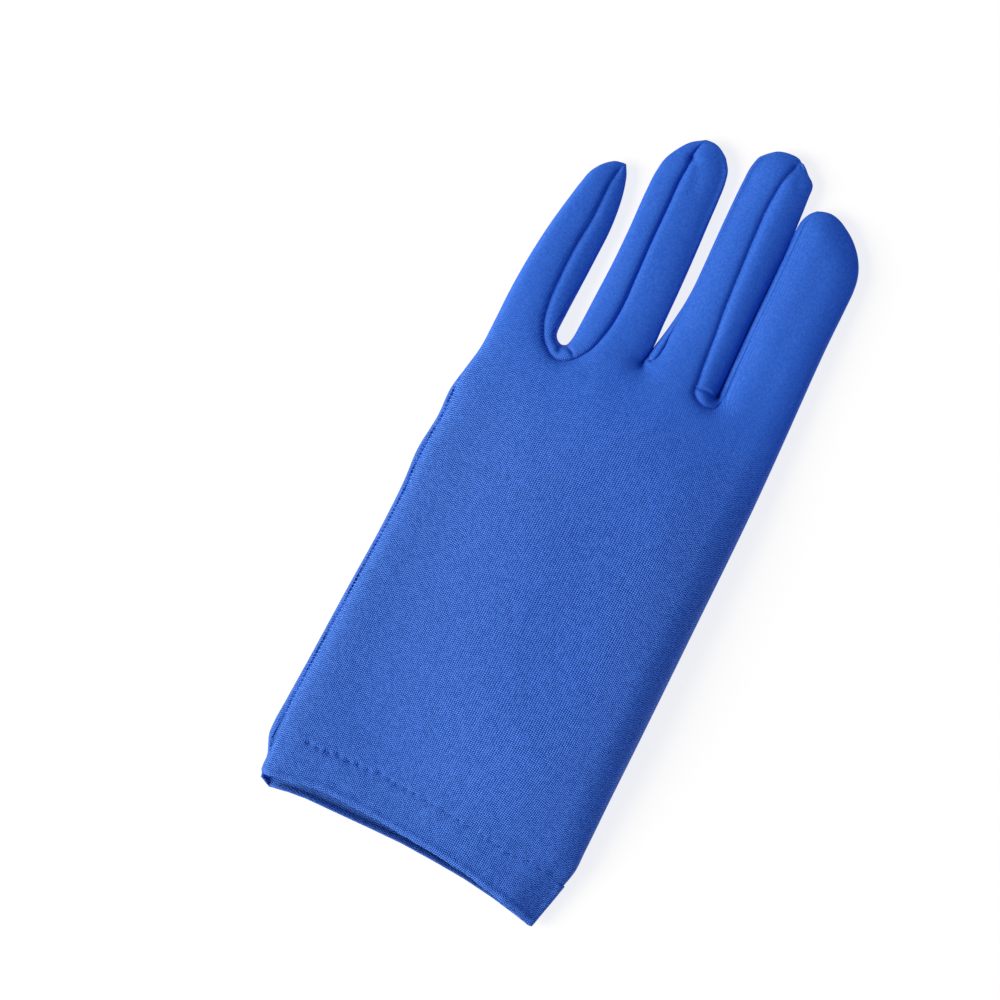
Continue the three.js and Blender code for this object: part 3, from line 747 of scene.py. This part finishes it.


# Nylon-elastane tricot knit, dyed royal blue: fine columns of loops run up the hand. It looks matt
# and slightly grainy, and smooth where it is stretched over the fingers. Towards the hem it is painted a
# little darker, as painted shade in its looser loops.
def tricotKnit():
    look = tricot
    material = bpy.data.materials.new("nylon-elastane tricot knit")
    material.use_nodes = True
    tree = material.node_tree
    shader = tree.nodes["Principled BSDF"]
    place = addNode(tree, "TexCoord", {}).outputs["Object"]
    axes = addNode(tree, "SeparateXYZ", {"Vector": place}).outputs
    wander = addNode(tree, "TexNoise", {
        "Vector": place, "Scale": 1000 / look["straySize"], "Detail": 4.0, "Roughness": 0.75,
    }).outputs["Fac"]
    stray = calculate(tree, "MULTIPLY", wander, look["stray"])
    # Columns of loops follow the cloth down over both sides of the hand
    toSide = addNode(tree, "MapRange", {
        "Value": axes["X"], "From Min": -look["sides"] * mm, "From Max": look["sides"] * mm,
        "To Min": -1.0, "To Max": 1.0,
    }).outputs["Result"]
    drop = calculate(tree, "SUBTRACT", look["height"] * mm, axes["Z"])
    across = calculate(tree, "MULTIPLY_ADD", drop, toSide, axes["X"])
    wale = calculate(tree, "MULTIPLY_ADD", across, 1000 / look["wale"], stray)
    course = calculate(tree, "MULTIPLY_ADD", axes["Y"], 1000 / look["course"], stray)
    # Each column of loops starts at its own height
    column = calculate(tree, "FLOOR", wale)
    start = addNode(tree, "TexWhiteNoise", {"W": column}, noise_dimensions="1D").outputs["Value"]
    course = calculate(tree, "ADD", course, start)
    wales = calculate(tree, "SINE", calculate(tree, "MULTIPLY", wale, 2 * math.pi))
    courses = calculate(tree, "SINE", calculate(tree, "MULTIPLY", course, 2 * math.pi))
    row = calculate(tree, "FLOOR", course)
    loop = addNode(tree, "CombineXYZ", {"X": column, "Y": row}).outputs["Vector"]
    chance = addNode(tree, "TexWhiteNoise", {"Vector": loop}, noise_dimensions="2D").outputs["Value"]
    pattern = calculate(tree, "MULTIPLY", wales, look["wales"])
    pattern = calculate(tree, "MULTIPLY_ADD", courses, look["courses"], pattern)
    chance = calculate(tree, "MULTIPLY_ADD", chance, look["chance"], -look["chance"] / 2)
    pattern = calculate(tree, "ADD", pattern, chance)
    # The knit lies stretched and smooth on the fingers and shows its grain towards the hem
    slack = addNode(tree, "MapRange", {
        "Value": axes["Y"], "From Min": look["grainFrom"][0] * mm, "From Max": look["grainFrom"][1] * mm,
        "To Min": look["grain"][0], "To Max": look["grain"][1],
    }, interpolation_type="SMOOTHSTEP").outputs["Result"]
    patches = addNode(tree, "TexNoise", {
        "Vector": place, "Scale": 1000 / look["patchSize"], "Detail": 3.0,
    }).outputs["Fac"]
    uneven = calculate(tree, "MULTIPLY_ADD", patches, look["patches"], 1 - look["patches"] / 2)
    shown = calculate(tree, "MULTIPLY", pattern, calculate(tree, "MULTIPLY", slack, uneven))
    fuzz = addNode(tree, "TexNoise", {
        "Vector": place, "Scale": 1000 / look["fuzzSize"], "Detail": 2.0,
    }).outputs["Fac"]
    blotches = addNode(tree, "TexNoise", {
        "Vector": place, "Scale": 1000 / look["blotchSize"], "Detail": 3.0,
    }).outputs["Fac"]
    tone = calculate(tree, "ADD", shown, look["tone"])
    # Painted shade: towards the hem the whole cloth is painted darker, for the shade in its loosened loops
    tone = calculate(tree, "MULTIPLY_ADD", slack, look["slackShade"], tone)
    tone = calculate(tree, "MULTIPLY_ADD", fuzz, look["fuzz"], tone)
    tone = calculate(tree, "MULTIPLY_ADD", blotches, look["blotches"], tone)
    ramp = addNode(tree, "ValToRGB", {"Fac": tone})
    ramp.color_ramp.elements[0].color = linear(look["dark"])
    ramp.color_ramp.elements[1].color = linear(look["light"])
    ramp.color_ramp.elements.new(0.5).color = linear(look["mid"])
    tree.links.new(ramp.outputs["Color"], shader.inputs["Base Color"])
    bump = addNode(tree, "Bump", {
        "Strength": look["bump"], "Distance": look["relief"] * mm,
        "Height": calculate(tree, "MULTIPLY_ADD", fuzz, look["fuzzRelief"], shown),
    }).outputs["Normal"]
    tree.links.new(bump, shader.inputs["Normal"])
    shader.inputs["Roughness"].default_value = look["roughness"]
    shader.inputs["Specular IOR Level"].default_value = look["specular"]
    shader.inputs["Sheen Weight"].default_value = look["sheen"]
    shader.inputs["Sheen Tint"].default_value = linear(look["sheenTint"])
    return material


acrylic = {"colour": "7C7C7C", "glow": 0.82, "roughness": 0.9}


# White acrylic table that glows a little from beneath, so that shadows on it stay faint
def acrylicTable():
    material = bpy.data.materials.new("lit white acrylic")
    material.use_nodes = True
    shader = material.node_tree.nodes["Principled BSDF"]
    shader.inputs["Base Color"].default_value = linear(acrylic["colour"])
    shader.inputs["Roughness"].default_value = acrylic["roughness"]
    shader.inputs["Emission Color"].default_value = (1, 1, 1, 1)
    shader.inputs["Emission Strength"].default_value = acrylic["glow"]
    return material


polyester = {"slant": math.radians(50), "lighter": 1.7, "relief": 0.04, "bump": 0.6, "roughness": 0.5}


# Polyester sewing thread of two twisted plies: slanting stripes and a slight shine
def polyesterThread(code, twist):
    material = bpy.data.materials.new("twisted polyester thread")
    material.use_nodes = True
    tree = material.node_tree
    shader = tree.nodes["Principled BSDF"]
    place = addNode(tree, "TexCoord", {}).outputs["Object"]
    turned = addNode(tree, "Mapping", {
        "Vector": place, "Rotation": (0, 0, polyester["slant"]),
    }).outputs["Vector"]
    plies = addNode(tree, "TexWave", {"Vector": turned, "Scale": 1000 / twist / math.pi / 2}).outputs["Fac"]
    shades = addNode(tree, "ValToRGB", {"Fac": plies})
    shades.color_ramp.elements[0].color = linear(code)
    lighter = [polyester["lighter"] * c for c in linear(code)[:3]]
    shades.color_ramp.elements[1].color = (*lighter, 1.0)
    tree.links.new(shades.outputs["Color"], shader.inputs["Base Color"])
    bump = addNode(tree, "Bump", {
        "Strength": polyester["bump"], "Distance": polyester["relief"] * mm, "Height": plies,
    }).outputs["Normal"]
    tree.links.new(bump, shader.inputs["Normal"])
    shader.inputs["Roughness"].default_value = polyester["roughness"]
    return material


knit = tricotKnit()
print("materials made")

# The hole that the thumb is sewn into, and the thumb's own outline
axis = (thumbLine[1] - thumbLine[0]) / np.linalg.norm(thumbLine[1] - thumbLine[0])
acrossAxis = np.array([axis[1], -axis[0]])
angles = np.linspace(0, 2 * np.pi, thumb["holePoints"], endpoint=False)[:, None]
holeMiddle = thumbLine[0] + ((thumb["holeLength"] - thumb["width"]) / 2 + thumb["holeShift"]) * axis
thumbHole = (
    holeMiddle + thumb["holeLength"] / 2 * np.cos(angles) * axis
    + thumb["holeWidth"] / 2 * np.sin(angles) * acrossAxis
)
half = np.linspace(0, np.pi, thumb["endPoints"])[:, None]
stretch = np.linspace(0, 1, thumb["sidePoints"])[1:-1, None]
thumbRim = np.vstack([
    thumbLine[1] + thumb["width"] / 2 * (np.cos(half) * acrossAxis + np.sin(half) * axis),
    thumbLine[1] - thumb["width"] / 2 * acrossAxis
    + (thumbLine[0] - thumbLine[1]) * stretch,
    thumbLine[0] - thumb["width"] / 2 * (np.cos(half) * acrossAxis + np.sin(half) * axis),
    thumbLine[0] + thumb["width"] / 2 * acrossAxis
    + (thumbLine[1] - thumbLine[0]) * stretch,
])


def thumbSide(sign, hole=None):
    flat, triangles = filled(thumbRim, hole)
    distance = distanceTo(np.vstack([thumbRim, thumbRim[:1]]), flat)
    z = thumb["thickness"] / 2 * (1 + sign * roundness(distance, thumb["round"]))
    if hole is not None:
        height, width = thumb["holeRim"]
        z += height * smooth(1 - distanceTo(np.vstack([hole, hole[:1]]), flat) / width)
    if sign < 0:
        triangles = triangles[:, ::-1]
    return np.column_stack([flat, z]), triangles


# Pieces

trank = piece("trank_cloth", *joined([sheet("back"), sheet("palm", thumbHole), hemBand()]), knit)
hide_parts("trank")

# How many rows of points the strips have on the back and under the palm, closer together there
gusset = {"across": 10, "under": 9, "closer": 1.7}
for name, strip in strips.items():
    over = (1 - (1 - np.linspace(0, 1, gusset["across"])) ** 2)[:, None, None]
    under = (np.linspace(0, 1, gusset["under"])[1:] ** gusset["closer"])[:, None, None]
    flat = np.concatenate([
        strip["back"] + (strip["outline"] - strip["back"]) * over,
        strip["outline"] + (strip["palm"] - strip["outline"]) * under,
    ])
    count, length = flat.shape[:2]
    z = np.concatenate([
        backHeight(flat[:gusset["across"]].reshape(-1, 2)),
        palmHeight(flat[gusset["across"]:].reshape(-1, 2)),
    ])
    vertices = np.column_stack([flat.reshape(-1, 2), z])
    faces = [
        (r * length + c, r * length + c + 1, (r + 1) * length + c + 1, (r + 1) * length + c)
        for r in range(count - 1) for c in range(length - 1)
    ]
    cloth = piece(name + "_cloth", vertices, faces, knit)
    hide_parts(name)

thumbPiece = piece("thumb_cloth", *joined([thumbSide(1, thumbHole), thumbSide(-1)]), knit)
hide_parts("thumb")

# Blind stitches that hold the turned-in hem, each lying in its dent; their thread is painted darker than
# the cloth, partly as painted shade of the dents
sewing = {
    "length": 1.2,
    "uneven": 0.08,
    "slant": 0.12,
    "radius": 0.17,
    "rise": 0.14,  # how far a stitch's middle stands above its ends
    "sunk": 0.12,
    "sides": 6,
    "sections": 7,
    # dark navy: partly the thread's own colour, partly painted shade of the dent it lies in
    "colour": "0A2C86",
    "twist": 0.35,
}
sewingThread = polyesterThread(sewing["colour"], sewing["twist"])
threads = []
for cx, cy in stitchPlaces:
    reach = sewing["length"] * (0.5 + sewing["uneven"] * rng.normal())
    x = np.linspace(cx - reach, cx + reach, sewing["sections"])
    line = np.column_stack([x, cy + sewing["slant"] * (x - cx)])
    arch = sewing["rise"] * (1 - ((x - cx) / reach) ** 2) - sewing["sunk"]
    line = np.column_stack([line, backHeight(line) + arch])
    threads.append(thread(line, sewing["radius"], sewing["sides"]))
stitches = piece("hem_stitches", *joined(threads), sewingThread, cloth=0, merge=False)

# Overlock stitches across the seam down the little finger side
overlock = {
    "pitch": 1.1,
    "uneven": (0.12, 0.05),  # along the seam and across it
    "from": 22.0,
    "to": 127.0,
    "reach": 0.5,
    "slant": 0.3,
    "radius": 0.11,
    "lift": 0.03,
    "sag": 0.1,
    "sections": 7,
    "colour": "4F88F0",
    "twist": 0.3,
}
bars = []
for y in np.arange(overlock["from"], overlock["to"], overlock["pitch"]):
    y += rng.normal(0, overlock["uneven"][0])
    middle = sideAt(sideSeamLine, y) + rng.normal(0, overlock["uneven"][1])
    x = np.linspace(middle - overlock["reach"], middle + overlock["reach"], overlock["sections"])
    line = np.column_stack([x, y + overlock["slant"] * (x - middle)])
    height = backHeight(line)
    height = np.maximum(height, height.mean() - overlock["sag"]) + overlock["lift"]
    bars.append(thread(np.column_stack([line, height]), overlock["radius"]))
overlockThread = polyesterThread(overlock["colour"], overlock["twist"])
sideStitches = piece("side_stitches", *joined(bars), overlockThread, cloth=0, merge=False)
print("pieces made")

# Floor, lights and camera
studio = {
    "floorSize": 6.0,
    "floorGap": 0.4,  # so that the palm and the floor don't share a plane
    "sky": 0.38,
    "skyTint": "A9CBFF",
    "key": 74.0,
    "keyTint": "FFEACC",
    "keySize": 1.33,
    "keyFrom": (-1.0, -0.55, 0.72),
    "keyDistance": 2.0,
    "lens": 200.0,
    "sensor": 36.0,
    "view": (-19.2, -10.6),
    "frameWidth": 280.0,  # what the picture shows at the height of the back, in mm
    "backZ": 8.0,
    "turn": 27.2,
}
bpy.ops.mesh.primitive_plane_add(size=studio["floorSize"], location=(0, 0, -studio["floorGap"] * mm))
floor = bpy.context.active_object
floor.name = "floor"
floor.data.materials.append(acrylicTable())

world = bpy.data.worlds.new("studio")
world.use_nodes = True
world.node_tree.nodes["Background"].inputs["Color"].default_value = linear(studio["skyTint"])
world.node_tree.nodes["Background"].inputs["Strength"].default_value = studio["sky"]
bpy.context.scene.world = world

keyData = bpy.data.lights.new("window softbox", "AREA")
keyData.energy = studio["key"]
keyData.color = linear(studio["keyTint"])[:3]
keyData.size = studio["keySize"]
key = bpy.data.objects.new("window softbox", keyData)
bpy.context.scene.collection.objects.link(key)
direction = Vector(studio["keyFrom"]).normalized()
key.location = direction * studio["keyDistance"]
key.rotation_euler = direction.to_track_quat("Z", "Y").to_euler()

cameraData = bpy.data.cameras.new("camera")
cameraData.lens = studio["lens"]
cameraData.sensor_width = studio["sensor"]
camera = bpy.data.objects.new("camera", cameraData)
bpy.context.scene.collection.objects.link(camera)
away = studio["frameWidth"] * studio["lens"] / studio["sensor"]
camera.location = (studio["view"][0] * mm, studio["view"][1] * mm, (away + studio["backZ"]) * mm)
camera.rotation_euler = (0, 0, math.radians(studio["turn"]))
bpy.context.scene.camera = camera
bpy.context.scene.view_settings.view_transform = "Standard"

print("scene ready")
